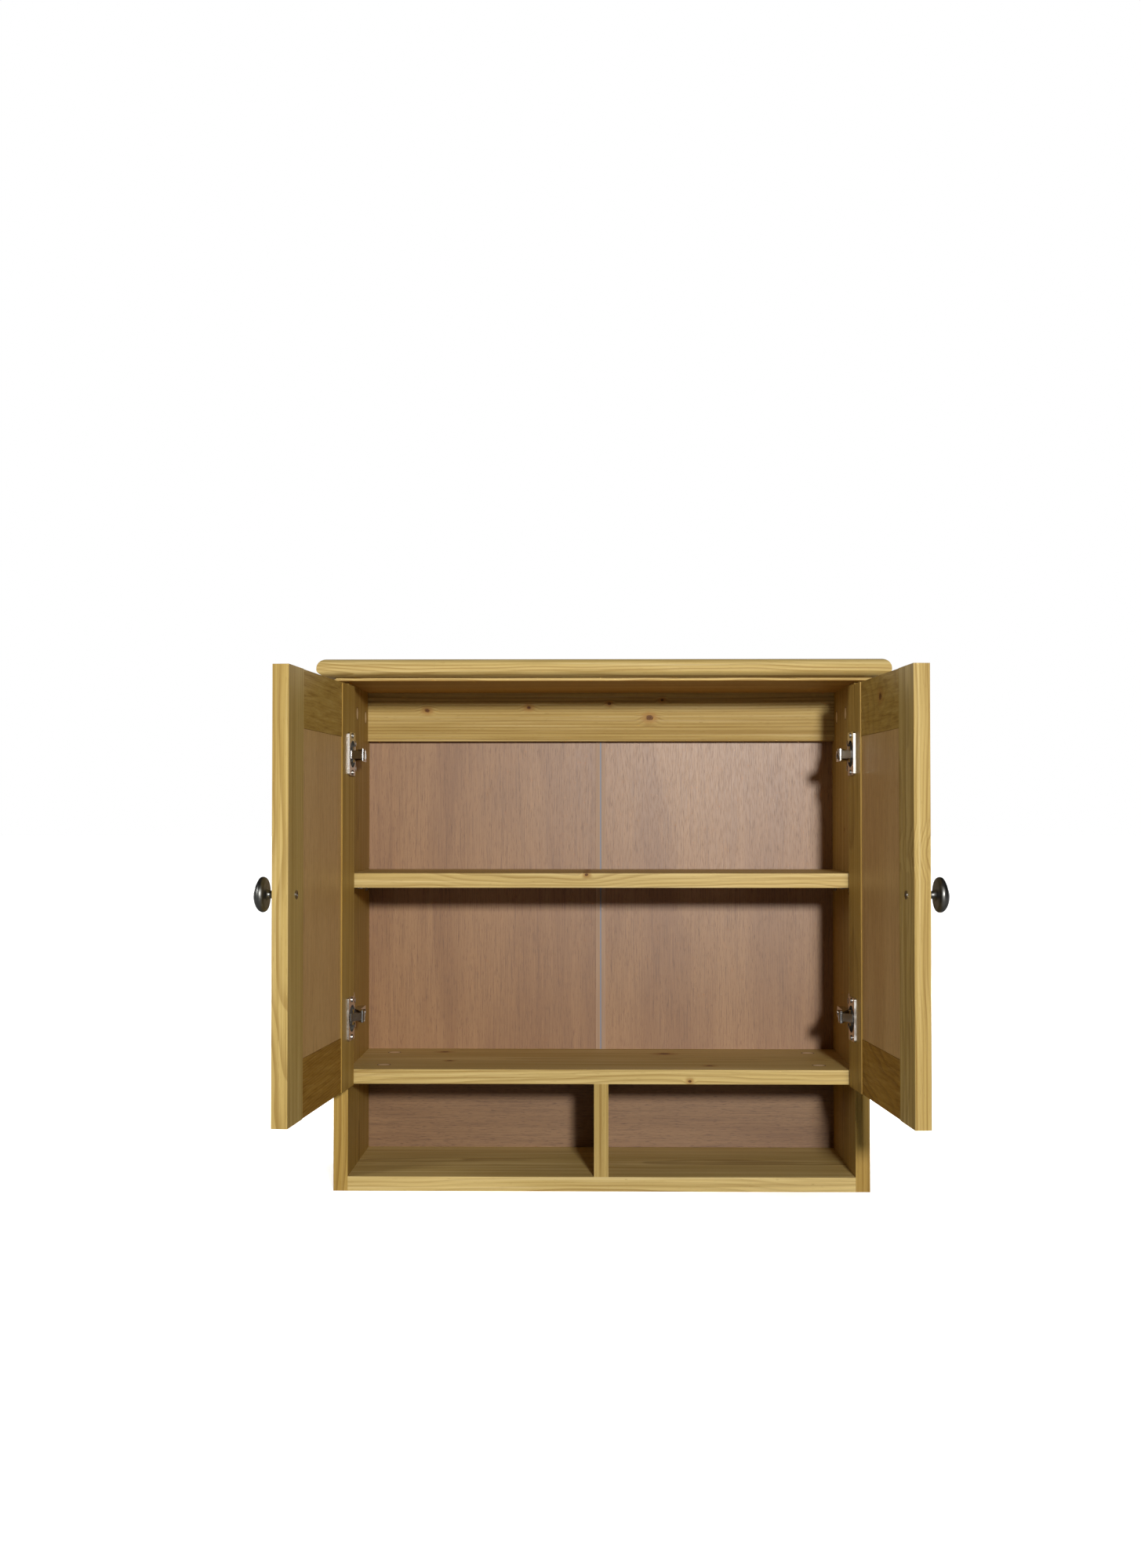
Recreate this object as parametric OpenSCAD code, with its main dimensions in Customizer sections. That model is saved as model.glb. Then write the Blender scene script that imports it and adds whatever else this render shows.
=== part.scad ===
// Two-door solid pine wall cabinet with an open pigeonhole row under the doors.
// Millimetres. +Z is up, -Y is the front, Y = 0 is the wall plane, X = 0 is the centre line
// and Z = 0 is the underside. The doors rest open; they close towards Y = -carcass_depth.

/* [Carcass] */
// Width over the two side panels
cabinet_w = 672; // [500:1:1000]
// Depth from the wall plane to the front edges of the sides
carcass_depth = 212; // [160:1:320]
// Thickness of every solid pine board
board_t = 18; // [15:0.5:24]
// Clear height of the pigeonholes
pigeonhole_h = 116; // [80:1:200]
// Clear height between the lower shelf and the middle shelf
lower_bay_h = 228; // [180:1:320]
// Clear height between the middle shelf and the ceiling
upper_bay_h = 241; // [200:1:320]
// Thickness of the plywood backs
back_t = 4; // [3:0.5:8]
// Distance of the plywood backs in from the wall plane
back_inset = 1; // [0.5:0.5:4]
// Depth of the side rebate that the backs sit in, across the side's thickness
back_rebate = 8; // [5:0.5:10]
// Height of the hanging rail
hanging_rail_h = 66; // [40:1:100]

/* [Cornice] */
// Total thickness of the moulded top
cornice_t = 26; // [24:0.5:40]
// How far the moulding's nose stands out past the sides and the closed doors
cornice_overhang = 20; // [18:0.5:40]
// Height of the small fillet under the moulding
cornice_fillet_h = 2.2; // [1.5:0.1:4]
// Height of the sunk quirk above the fillet
cornice_quirk_h = 1.8; // [1:0.1:3]
// Depth of the sunk quirk
cornice_quirk_d = 1.5; // [0.5:0.1:3]
// Height of the nose's lower round
cornice_low_h = 8; // [4:0.5:9]
// How far the nose's lower round runs back
cornice_low_run = 16; // [6:0.5:17]
// Radius of the nose's upper round
cornice_up_r = 12; // [6:0.5:12]
// How far the top sits to the right of the carcass centre
cornice_shift = 3; // [0:0.5:4]

/* [Doors] */
// Thickness of the door frames
door_t = 18; // [15:0.5:24]
// Width of the door stiles and rails
door_frame_w = 66; // [50:1:90]
// How far a closed door covers the front edge of its side panel
door_overlay = 8.5; // [8:0.1:9]
// Gap between the two closed doors
centre_gap = 3; // [2:0.5:6]
// Gap between a closed door and the carcass front
door_gap = 3; // [3:0.1:4]
// Gap between the door tops and the ceiling plane
door_top_gap = 6; // [3:0.5:12]
// How far the doors reach below the lower shelf
door_drop = 1; // [0:0.5:6]
// Left door's opening from closed, in degrees: it stands open at this angle
left_open_angle = 94.8; // [90:0.1:95]
// Right door's opening from closed, in degrees: it stands open at this angle
right_open_angle = 94.2; // [90:0.1:95]
// Thickness of the plywood door panels
panel_t = 6; // [4:0.5:8]
// Step from the stiles' back face in to the panel
panel_inset = 1.8; // [0.2:0.1:3]
// Step from the stiles' back face in to the rails
rail_inset = 1.2; // [0.4:0.1:3]
// Width of the frame's front lip that the panel lies against
panel_lip = 8; // [5:0.5:12]
// Length of the rails' tenons
tenon_len = 25; // [15:1:40]
// Thickness of the rails' tenons
tenon_t = 6; // [5:0.5:8]
// Shoulder above and below each tenon
tenon_shoulder = 10; // [6:1:16]

/* [Knobs] */
// Diameter of a knob's head
knob_d = 39; // [30:1:50]
// Thickness of a knob's domed head
knob_head_t = 14; // [10:0.5:18]
// Length of a knob's neck and base collar
knob_neck_l = 14; // [6:0.5:16]
// Diameter of a knob's neck
knob_neck_d = 8.5; // [8:0.5:14]
// Diameter of a knob's base collar
knob_base_d = 19; // [15:0.5:28]
// Diameter of a knob's fixing screw
knob_screw_d = 4; // [3:0.5:5]

/* [Hinges] */
// Distance of the hinge centres from the doors' ends
hinge_inset = 86; // [70:1:120]
// Distance of a hinge cup's centre from the door's hinge edge
cup_edge = 22.5; // [22.5:0.1:25]
// Diameter of a hinge cup
cup_d = 35; // [35:0.1:36]
// Depth of a hinge cup
cup_depth = 11.5; // [11:0.1:12]
// Wall thickness of a hinge cup
cup_wall = 0.8; // [0.6:0.1:1]
// Thickness of the cup's flange
flange_t = 2.8; // [2:0.1:2.8]
// Length of the cup's flange
flange_l = 53.5; // [53:0.5:60]
// Width of the cup's flange, back from the cup's far side
flange_w = 31; // [28:1:31]
// Distance between a flange's two screws
flange_screw_pitch = 46; // [44:1:48]
// Turning centre of a door: distance in from its hinge edge
pivot_edge = 7; // [6:0.1:7]
// Turning centre of a door: depth from its back face
pivot_depth = 9; // [9:0.1:10]
// Arm tip's pin: height above the side's inner face
tip_up = 18.5; // [18:0.1:19]
// Arm tip's pin: distance in front of the carcass
tip_out = 7.6; // [7.4:0.1:7.8]
// Length of the link from its pin to its free end
link_len = 17.4; // [17:0.1:17.8]
// Angle of the link when the door is closed, from straight across
link_closed_angle = 174; // [173:1:176]
// Link's turn for each degree of the door's
link_ratio = 0.38; // [0.37:0.01:0.39]
// Thickness of the link
link_t = 2.2; // [2:0.1:2.4]
// Height of the link
link_w = 10; // [8:0.5:11]
// Diameter of the arm tip's pin
pin_d = 3; // [2.5:0.1:3.2]
// Radial clearance of the link's eye on its pin
pin_clearance = 0.05; // [0.02:0.01:0.1]
// Distance of the mounting plate's screws behind the carcass front
plate_setback = 37; // [36:0.5:38]
// Distance between a mounting plate's two screws
plate_screw_pitch = 32; // [32:0.5:36]
// Length of a mounting plate across its wings
plate_span = 52; // [50:1:56]
// Thickness of a mounting plate's wings
plate_t = 2.5; // [2:0.1:3]
// Thickness of the sheet that the arms are pressed from
arm_t = 1.6; // [1.2:0.1:2]

/* [Shelf] */
// Clearance of the middle shelf at each end
shelf_end_gap = 1; // [0.5:0.1:3]
// Clearance behind the middle shelf
shelf_back_gap = 2; // [1:0.5:8]
// Diameter of a shelf peg
peg_d = 5; // [4:0.5:7]
// Depth of a shelf peg in the side
peg_depth = 9; // [7:0.5:12]
// Reach of a shelf peg's tab under the shelf
peg_reach = 14; // [8:1:20]
// Setback of the shelf pegs from the carcass front, and from the back
peg_setback = 34; // [20:1:60]

/* [Fasteners and plugs] */
// Diameter of the plugs
plug_d = 18; // [12:1:20]
// Depth of the plugs
plug_depth = 6; // [4:0.5:10]
// Distance of the shelf plugs in from the sides
shelf_plug_in = 40; // [20:1:80]
// Distance of the front row of shelf plugs behind the carcass front
plug_front = 44; // [30:1:60]
// Distance of the rear row of shelf plugs in front of the backs
plug_rear = 41; // [20:1:60]
// Distance of the side plugs below the ceiling
side_plug_drop = 35; // [20:1:60]
// Distance of the front side plug behind the carcass front
side_plug_front = 79; // [70:1:90]
// Distance of the rear side plug in front of the backs
side_plug_rear = 44; // [20:1:50]
// Diameter of the dowels
dowel_d = 8; // [6:1:10]
// Clearance around a dowel
dowel_clearance = 0.05; // [0.02:0.01:0.2]
// Length of the dowels
dowel_l = 30; // [24:1:36]
// Diameter of a back pin's shank
back_pin_d = 1.6; // [1.2:0.1:2]
// Width of the strip that covers the joint between the upper backs
strip_w = 13; // [10:1:20]

/* [Hidden] */
$fn = 48;

pine = "#c9a45c";
pine_pale = "#dcb983";
ply = "#a9805f";
nickel = "#b9b6b0";
pewter = "#4d4c48";
steel = "#8f8f8f";
grey_strip = "#9b8478";

// Levels and planes of the carcass
half_w = cabinet_w / 2;
inner_w = cabinet_w - 2 * board_t;
front_y = -carcass_depth;
back_face_y = -(back_inset + back_t);
inner_depth = carcass_depth + back_face_y;
lower_shelf_z = board_t + pigeonhole_h;
bay_z = lower_shelf_z + board_t;
middle_shelf_z = bay_z + lower_bay_h;
ceiling_z = middle_shelf_z + board_t + upper_bay_h;
rail_z = ceiling_z - hanging_rail_h;
back_split_z = lower_shelf_z + board_t / 2;

// Doors: local x runs from the hinge edge, local -y from the back face to the front face
side_reveal = board_t - door_overlay;
door_w = (cabinet_w - 2 * side_reveal - centre_gap) / 2;
door_z = lower_shelf_z - door_drop;
door_h = ceiling_z - door_top_gap - door_z;
pivot_x = -half_w + side_reveal + pivot_edge;
pivot_y = front_y - door_gap - pivot_depth;
panel_back = panel_inset + panel_t;
panel_slip = 0.3;
tenon_slip = 0.5;
knob_x = door_w - door_frame_w / 2;
knob_z = door_h / 2;
HINGE_Z = [door_z + hinge_inset, door_z + door_h - hinge_inset];

// Hinges
cup_bore_d = cup_d + 0.2;
cup_bore_depth = cup_depth + 0.5;
mouth_r = cup_d / 2 - cup_wall;
eye_r = pin_d / 2 + 1.4;
cheek_t = arm_t;
cheek_gap = link_w / 2 + 0.4;
arm_w = 2 * (cheek_gap + cheek_t);
arm_top = 14;
arm_end = 62;
arm_knee = 16;
arm_foot = 5;
arm_bend = 5;
arm_screw_rows = [26, 47];
block_half = cheek_gap - 0.1;
block_top = arm_top - arm_t;
plate_front = 18;
plate_back = 56;
wing_r = 5;
wing_waist = [16, 12];
flange_corner_r = 2.5;
knob_screw_head_d = 9.5;
knob_rim_w = 4;
knob_rim_h = 4.5;
knob_flare_d = 15;
knob_base_t = 2;
cup_pin_d = 2;
cup_pin_l = 11.6;

// Screws
screw_d = 4;
screw_in = 12;
screw_head_d = 7;
plate_screw_head_t = 1.6;
arm_screw_head_t = 2.2;
cup_screw_d = 3.5;
cup_screw_head_d = 6.5;
cup_screw_head_t = 1.2;
knob_screw_head_t = 1.4;
slot_w = 0.9;

// Backs
back_edge = inner_w / 2 + back_rebate;
ledge_h = board_t / 2;
strip_web = 1.2;
strip_face_t = 1;
strip_groove = [2.4, 0.6];
back_pin_in = 10;
back_pin_head_t = 0.6;
back_pin_margin = 12;
back_pin_columns = [0.25, 0.7] * inner_w / 2;

// Dowel rows
dowel_rows = [0.2, 0.5, 0.8] * inner_depth;
dowel_in_side = 11;
dowel_in_cornice = 13;

// ---------- helpers ----------
// A board from its lowest corner
module board(x, y, z, sx, sy, sz) {
    translate([x, y, z]) cube([sx, sy, sz]);
}

// A round bar along X, centred on the given point at its low end
module bar_x(x, y, z, d, l) {
    translate([x, y, z]) rotate([0, 90, 0]) cylinder(d = d, h = l);
}

// A round bar along -Y, starting at y
module bar_front(x, y, z, d, l) {
    translate([x, y, z]) rotate([90, 0, 0]) cylinder(d = d, h = l);
}

// Both sides of the cabinet, mirrored about the centre line
module both_sides() {
    children();
    mirror([1, 0, 0]) children();
}

// Places door-local shapes on the left-hand door, opened by the given angle
module on_left_door(angle = left_open_angle) {
    translate([pivot_x, pivot_y, door_z])
        rotate([0, 0, -angle])
            translate([-pivot_edge, pivot_depth, 0])
                children();
}

// Places hinge-local shapes: x up from the side's inner face, y back from the carcass front
module on_left_side(z) {
    translate([-half_w + board_t, front_y, z]) children();
}

// ---------- dowels and plugs ----------
module dowel_x(x, y, z, grow) {
    bar_x(x - grow, y, z, dowel_d + 2 * grow, dowel_l + 2 * grow);
}

module dowel_z(x, y, z, grow) {
    translate([x, y, z - grow]) cylinder(d = dowel_d + 2 * grow, h = dowel_l + 2 * grow);
}

// Every dowel of the carcass; grow makes the matching holes
module dowel_set(grow = 0) {
    both_sides() {
        for (row = dowel_rows) {
            for (z = [board_t / 2, lower_shelf_z + board_t / 2])
                dowel_x(-half_w + board_t - dowel_in_side, front_y + row, z, grow);
            dowel_z(-half_w + board_t / 2, front_y + row,
                ceiling_z + dowel_in_cornice - dowel_l, grow);
        }
        dowel_x(-half_w + board_t - dowel_in_side, back_face_y - board_t / 2,
            rail_z + hanging_rail_h / 2, grow);
    }
    for (row = [dowel_rows[0], dowel_rows[2]]) {
        dowel_z(0, front_y + row, board_t - dowel_in_side, grow);
        dowel_z(0, front_y + row, lower_shelf_z + dowel_in_side - dowel_l, grow);
    }
}

module shelf_plug_set(grow = 0) {
    both_sides()
        for (y = [front_y + plug_front, back_face_y - plug_rear])
            translate([-half_w + board_t + shelf_plug_in, y, bay_z - plug_depth])
                cylinder(d = plug_d, h = plug_depth + grow);
}

module side_plug_set(grow = 0) {
    both_sides()
        for (y = [front_y + side_plug_front, back_face_y - side_plug_rear])
            bar_x(-half_w + board_t - plug_depth, y, ceiling_z - side_plug_drop,
                plug_d, plug_depth + grow);
}

// ---------- shelf pegs ----------
function peg_y(i) = i == 0 ? front_y + peg_setback : back_face_y - peg_setback;

module peg_bores() {
    both_sides()
        for (i = [0, 1])
            bar_x(-half_w + board_t - peg_depth, peg_y(i), middle_shelf_z - peg_d / 2,
                peg_d, peg_depth + 1);
}

module shelf_pegs() {
    tab_w = 2 * peg_d;
    color(steel) both_sides()
        for (i = [0, 1]) {
            bar_x(-half_w + board_t - peg_depth, peg_y(i), middle_shelf_z - peg_d / 2,
                peg_d, peg_depth);
            board(-half_w + board_t, peg_y(i) - tab_w / 2, middle_shelf_z - peg_d / 2,
                peg_reach, tab_w, peg_d / 2);
            board(-half_w + board_t, peg_y(i) - tab_w / 2, middle_shelf_z - 2 * peg_d,
                peg_d / 2, tab_w, 2 * peg_d);
        }
}

// ---------- carcass ----------
module side_board() {
    difference() {
        board(-half_w, front_y, 0, board_t, carcass_depth, ceiling_z);
        board(-half_w + board_t - back_rebate, back_face_y, -1,
            back_rebate + 1, back_inset + back_t + 1, ceiling_z + 2);
        dowel_set(dowel_clearance);
        side_plug_set(1);
        peg_bores();
        back_pin_set();
        for (z = HINGE_Z) on_left_side(z) plate_screw_shanks();
    }
}

module left_side() {
    color(pine) side_board();
}

module right_side() {
    color(pine) mirror([1, 0, 0]) side_board();
}

// The bottom board has a rear ledge under the back, out to the wall plane
module bottom_board() {
    color(pine) difference() {
        union() {
            board(-inner_w / 2, front_y, 0, inner_w, inner_depth, board_t);
            board(-inner_w / 2, -inner_depth, 0, inner_w, inner_depth, ledge_h);
            board(-back_edge, back_face_y, 0, 2 * back_edge, -back_face_y, ledge_h);
        }
        dowel_set(dowel_clearance);
        back_pin_set();
    }
}

module lower_shelf() {
    color(pine) difference() {
        board(-inner_w / 2, front_y, lower_shelf_z, inner_w, inner_depth, board_t);
        dowel_set(dowel_clearance);
        shelf_plug_set(1);
        back_pin_set();
    }
}

module pigeonhole_divider() {
    color(pine) difference() {
        board(-board_t / 2, front_y, board_t, board_t, inner_depth, pigeonhole_h);
        dowel_set(dowel_clearance);
    }
}

module middle_shelf() {
    color(pine) board(-inner_w / 2 + shelf_end_gap, front_y, middle_shelf_z,
        inner_w - 2 * shelf_end_gap, inner_depth - shelf_back_gap, board_t);
}

module hanging_rail() {
    color(pine) difference() {
        board(-inner_w / 2, back_face_y - board_t, rail_z, inner_w, board_t, hanging_rail_h);
        dowel_set(dowel_clearance);
    }
}

// ---------- cornice ----------
// Points of a round about [cx, cy] with half axes rx and ry, from angle a0 to a1
function arc(cx, cy, rx, ry, a0, a1, steps = 12) =
    [for (i = [0:steps]) let (a = a0 + (a1 - a0) * i / steps)
        [cx + rx * cos(a), cy + ry * sin(a)]];

// Edge moulding, from the fillet's foot to the top: x is outward, y is up from the ceiling
function cornice_edge() =
    let (quirk_top = cornice_fillet_h + cornice_quirk_h)
    concat(
        [[0, 0], [0, cornice_fillet_h], [-cornice_quirk_d, cornice_fillet_h],
            [-cornice_quirk_d, quirk_top]],
        arc(cornice_overhang - cornice_low_run, quirk_top + cornice_low_h,
            cornice_low_run, cornice_low_h, -90, 0),
        arc(cornice_overhang - cornice_up_r, cornice_t - cornice_up_r,
            cornice_up_r, cornice_up_r, 0, 90)
    );

// Section of the top from front to back: the wall plane is at x = 0, the moulding at -x
function cornice_depth_section(fillet_x) =
    concat([[0, cornice_t], [0, 0]], [for (p = cornice_edge()) [fillet_x - p[0], p[1]]]);

// Section of the top from side to side, moulded at both ends
function cornice_width_section() =
    let (edge = [for (p = cornice_edge()) [half_w + p[0], p[1]]])
    concat(edge, [for (i = [len(edge) - 1 : -1 : 0]) [-edge[i][0], edge[i][1]]]);

module cornice_top() {
    color(pine) difference() {
        translate([cornice_shift, 0, ceiling_z]) intersection() {
            translate([-cabinet_w, 0, 0])
                rotate([90, 0, 90])
                    linear_extrude(2 * cabinet_w)
                        polygon(cornice_depth_section(front_y - door_gap - door_t));
            rotate([90, 0, 0])
                linear_extrude(2 * carcass_depth)
                    polygon(cornice_width_section());
        }
        dowel_set(dowel_clearance);
    }
}

// ---------- backs ----------
module upper_back() {
    board(-back_edge, back_face_y, back_split_z, back_edge - strip_web / 2, back_t,
        ceiling_z - back_split_z);
}

module back_panel_left() {
    color(ply) difference() {
        upper_back();
        back_pin_set();
    }
}

module back_panel_right() {
    color(ply) difference() {
        mirror([1, 0, 0]) upper_back();
        back_pin_set();
    }
}

module pigeonhole_back() {
    color(ply) difference() {
        board(-back_edge, back_face_y, ledge_h, 2 * back_edge, back_t, back_split_z - ledge_h);
        back_pin_set();
    }
}

// Strip over the joint of the upper backs: a grooved face and a web between the boards
module back_joint_strip() {
    strip_h = rail_z - bay_z;
    color(grey_strip) difference() {
        union() {
            board(-strip_w / 2, back_face_y - strip_face_t, bay_z, strip_w, strip_face_t, strip_h);
            board(-strip_web / 2, back_face_y, bay_z, strip_web, back_t, strip_h);
        }
        board(-strip_groove[0] / 2, back_face_y - strip_face_t - 1, bay_z - 1,
            strip_groove[0], 1 + strip_groove[1], strip_h + 2);
    }
}

// Pins through the backs into the sides' rebates, the lower shelf and the bottom board
module back_pin_set() {
    low = back_split_z + back_pin_margin;
    rise = (ceiling_z - back_pin_margin - low) / 5;
    both_sides() {
        for (z = [board_t + back_pin_margin, back_split_z - back_pin_margin])
            back_pin(back_rebate / 2 - back_edge, z);
        for (i = [0:5])
            back_pin(back_rebate / 2 - back_edge, low + i * rise);
        for (x = back_pin_columns) {
            back_pin(-x, (ledge_h + board_t) / 2);
            back_pin(-x, back_split_z + board_t / 4);
            back_pin(-x, back_split_z - board_t / 4);
        }
    }
}

module back_pin(x, z) {
    bar_front(x, -back_inset, z, back_pin_d, back_t + back_pin_in);
    bar_front(x, -back_inset + back_pin_head_t, z, 2 * back_pin_d, back_pin_head_t);
}

// ---------- hinge pieces, left side, hinge-local ----------
module wing_outline() {
    for (s = [-1, 1])
        hull() {
            translate([plate_setback, s * (plate_span / 2 - wing_r)]) circle(wing_r);
            translate([plate_setback, 0]) square(wing_waist, center = true);
        }
}

module plate_screw_shanks() {
    for (s = [-1, 1])
        bar_x(-screw_in, plate_setback, s * plate_screw_pitch / 2, screw_d, screw_in + plate_t);
}

// Winged plate with a raised block that carries the arm
module hinge_plate() {
    color(nickel) difference() {
        union() {
            rotate([90, 0, 90]) linear_extrude(plate_t) wing_outline();
            board(0, plate_front, -block_half, block_top, plate_back - plate_front,
                2 * block_half);
        }
        plate_screw_shanks();
        arm_screw_shanks();
    }
}

// Channel-section arm: a bent top strip, two cheeks and two tip ears
module hinge_arm() {
    ear_r = eye_r - 0.2;
    bend_y = -1;
    color(nickel) difference() {
        union() {
            translate([0, 0, -arm_w / 2]) linear_extrude(arm_w) {
                polygon([[tip_up + ear_r, bend_y], [arm_top, arm_knee], [arm_top, arm_end],
                    [arm_top - arm_t, arm_end], [arm_top - arm_t, arm_knee - 0.4],
                    [tip_up + ear_r - arm_t, bend_y - 0.4]]);
            }
            for (s = [-1, 1])
                translate([0, 0, s * (cheek_gap + cheek_t / 2) - cheek_t / 2])
                    linear_extrude(cheek_t) {
                        translate([tip_up, -tip_out]) circle(ear_r);
                        polygon([[tip_up + ear_r, -tip_out], [tip_up + ear_r, bend_y],
                            [arm_top, arm_knee], [arm_top, arm_end], [arm_foot, arm_end - 6],
                            [arm_foot, arm_knee + 6], [arm_top - 3, arm_bend],
                            [tip_up - ear_r, -tip_out]]);
                    }
        }
        translate([tip_up, -tip_out, -arm_w]) cylinder(d = pin_d, h = 2 * arm_w);
        arm_screw_shanks();
    }
}

module arm_screw_shanks() {
    for (y = arm_screw_rows) bar_x(arm_foot, y, 0, screw_d, arm_top - arm_foot + 0.01);
}

module hinge_arm_screws() {
    for (y = arm_screw_rows) difference() {
        union() {
            bar_x(arm_foot, y, 0, screw_d, arm_top - arm_foot);
            bar_x(arm_top, y, 0, screw_head_d, arm_screw_head_t);
        }
        cross_slot_x(arm_top + arm_screw_head_t, y, 0);
    }
}

// A crossed driver slot in a head that faces +X, with its mouth at x
module cross_slot_x(x, y, z) {
    for (turn = [0, 90])
        translate([x, y, z]) rotate([turn, 0, 0]) cube([2, screw_d, slot_w], center = true);
}

module hinge_plate_screws() {
    for (s = [-1, 1]) difference() {
        union() {
            bar_x(-screw_in, plate_setback, s * plate_screw_pitch / 2,
                screw_d, screw_in + plate_t);
            bar_x(plate_t, plate_setback, s * plate_screw_pitch / 2,
                screw_head_d, plate_screw_head_t);
        }
        cross_slot_x(plate_t + plate_screw_head_t, plate_setback, s * plate_screw_pitch / 2);
    }
}

// Link: an eye on the arm's pin and a flat arm that ends inside the cup
module hinge_link(angle = left_open_angle) {
    color(nickel) translate([tip_up, -tip_out, -link_w / 2])
        rotate([0, 0, link_ratio * angle - link_closed_angle])
            difference() {
                linear_extrude(link_w) {
                    circle(eye_r);
                    translate([0, -link_t / 2]) square([link_len, link_t]);
                    translate([link_len, 0]) circle(0.77 * link_t);
                }
                translate([0, 0, -1]) cylinder(r = pin_d / 2 + pin_clearance, h = link_w + 2);
            }
}

module hinge_pin() {
    translate([tip_up, -tip_out, -arm_w / 2 - 0.5]) cylinder(d = pin_d, h = arm_w + 1);
}

// ---------- door hinge cup, door-local ----------
module flange_outline() {
    translate([(cup_d - flange_w) / 2, 0])
        offset(r = flange_corner_r)
            square([flange_w - 2 * flange_corner_r, flange_l - 2 * flange_corner_r],
                center = true);
}

// Cup with a flange and, on the door's turning axis, a pin from wall to wall. Its mouth is at
// the door's back face and it opens towards +y
module hinge_cup(z) {
    color(nickel) translate([cup_edge, 0, z]) {
        difference() {
            union() {
                rotate([90, 0, 0]) cylinder(d = cup_d, h = cup_depth);
                translate([0, flange_t, 0]) rotate([90, 0, 0])
                    linear_extrude(flange_t) flange_outline();
            }
            translate([0, flange_t + 1, 0]) rotate([90, 0, 0])
                cylinder(r = mouth_r, h = cup_depth - cup_wall + flange_t + 1);
            for (s = [-1, 1])
                bar_front(0, flange_t + 1, s * flange_screw_pitch / 2, cup_screw_d, flange_t + 2);
        }
        translate([pivot_edge - cup_edge, -pivot_depth, -cup_pin_l / 2])
            cylinder(d = cup_pin_d, h = cup_pin_l);
    }
}

module cup_bore(z) {
    bar_front(cup_edge, 1, z, cup_bore_d, cup_bore_depth + 1);
    for (s = [-1, 1])
        bar_front(cup_edge, 1, z + s * flange_screw_pitch / 2, cup_screw_d, screw_in + 1);
}

module cup_screws() {
    for (z = HINGE_Z - [door_z, door_z])
        for (s = [-1, 1])
            translate([cup_edge, 0, z + s * flange_screw_pitch / 2]) difference() {
                union() {
                    bar_front(0, flange_t, 0, cup_screw_d, flange_t + screw_in);
                    bar_front(0, flange_t + cup_screw_head_t, 0,
                        cup_screw_head_d, cup_screw_head_t);
                }
                for (turn = [0, 90])
                    translate([0, flange_t + cup_screw_head_t, 0]) rotate([0, turn, 0])
                        cube([cup_screw_d, 1.4, slot_w], center = true);
            }
}

// ---------- doors, door-local ----------
// Space of a rail's tenons, used for the tenons and, grown, for their mortises
module tenons(z, grow = 0) {
    board(door_frame_w - tenon_len - grow, -(door_t + tenon_t) / 2,
        z + tenon_shoulder, door_w - 2 * door_frame_w + 2 * tenon_len + 2 * grow,
        tenon_t, door_frame_w - 2 * tenon_shoulder);
}

// Front lip along a member, from its lowest corner; the panel lies against it from behind
module lip(x, z, sx, sz) {
    board(x, -door_t, z, sx, door_t - panel_back, sz);
}

// A rail between the stiles: z is its foot and lip_z the foot of its lip
module rail_at(z, lip_z) {
    lip_x = door_frame_w + panel_lip;
    color(pine) union() {
        board(door_frame_w, -door_t, z, door_w - 2 * door_frame_w,
            door_t - rail_inset, door_frame_w);
        lip(lip_x, lip_z, door_w - 2 * lip_x, panel_lip);
        tenons(z);
    }
}

module top_rail() {
    rail_at(door_h - door_frame_w, door_h - door_frame_w - panel_lip);
}

module bottom_rail() {
    rail_at(0, door_frame_w);
}

// A stile from x, with its lip from lip_x
module stile_at(x, lip_x) {
    difference() {
        union() {
            board(x, -door_t, 0, door_frame_w, door_t, door_h);
            lip(lip_x, door_frame_w, panel_lip, door_h - 2 * door_frame_w);
        }
        tenons(0, tenon_slip);
        tenons(door_h - door_frame_w, tenon_slip);
    }
}

module hinge_stile() {
    color(pine) difference() {
        stile_at(0, door_frame_w);
        for (z = HINGE_Z) cup_bore(z - door_z);
    }
}

module free_stile() {
    color(pine) difference() {
        stile_at(door_w - door_frame_w, door_w - door_frame_w - panel_lip);
        bar_front(knob_x, 1, knob_z, knob_screw_d, door_t + 2);
    }
}

module door_panel() {
    edge = door_frame_w + panel_slip;
    color(ply) board(edge, -panel_back, edge, door_w - 2 * edge, panel_t, door_h - 2 * edge);
}

// Turned knob: base collar, a waisted neck that flares out, and a domed head
function knob_profile() =
    let (r = knob_d / 2, base_r = knob_base_d / 2, neck_r = knob_neck_d / 2,
        flare = knob_flare_d / 2 - neck_r, edge = 0.6,
        waist_z = knob_base_t + (knob_neck_l - knob_base_t) * 0.55,
        rim_z = knob_neck_l + knob_rim_h)
    concat(
        [[0, 0], [base_r - edge, 0], [base_r, edge], [base_r, knob_base_t - edge],
            [base_r - edge, knob_base_t]],
        arc(base_r - edge, waist_z, base_r - edge - neck_r, waist_z - knob_base_t,
            -92, -180, 8),
        arc(neck_r + flare, waist_z, flare, knob_neck_l - waist_z, 172, 92, 8),
        arc(r - knob_rim_w, rim_z, knob_rim_w, knob_rim_h, -90, 0, 8),
        arc(0, rim_z, r, knob_head_t - knob_rim_h, 5, 90, 16)
    );

module knob() {
    color(pewter) translate([knob_x, -door_t, knob_z]) difference() {
        rotate([90, 0, 0]) rotate_extrude($fn = 72) polygon(knob_profile());
        bar_front(0, 1, 0, knob_screw_d, knob_neck_l + 5);
    }
}

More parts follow.
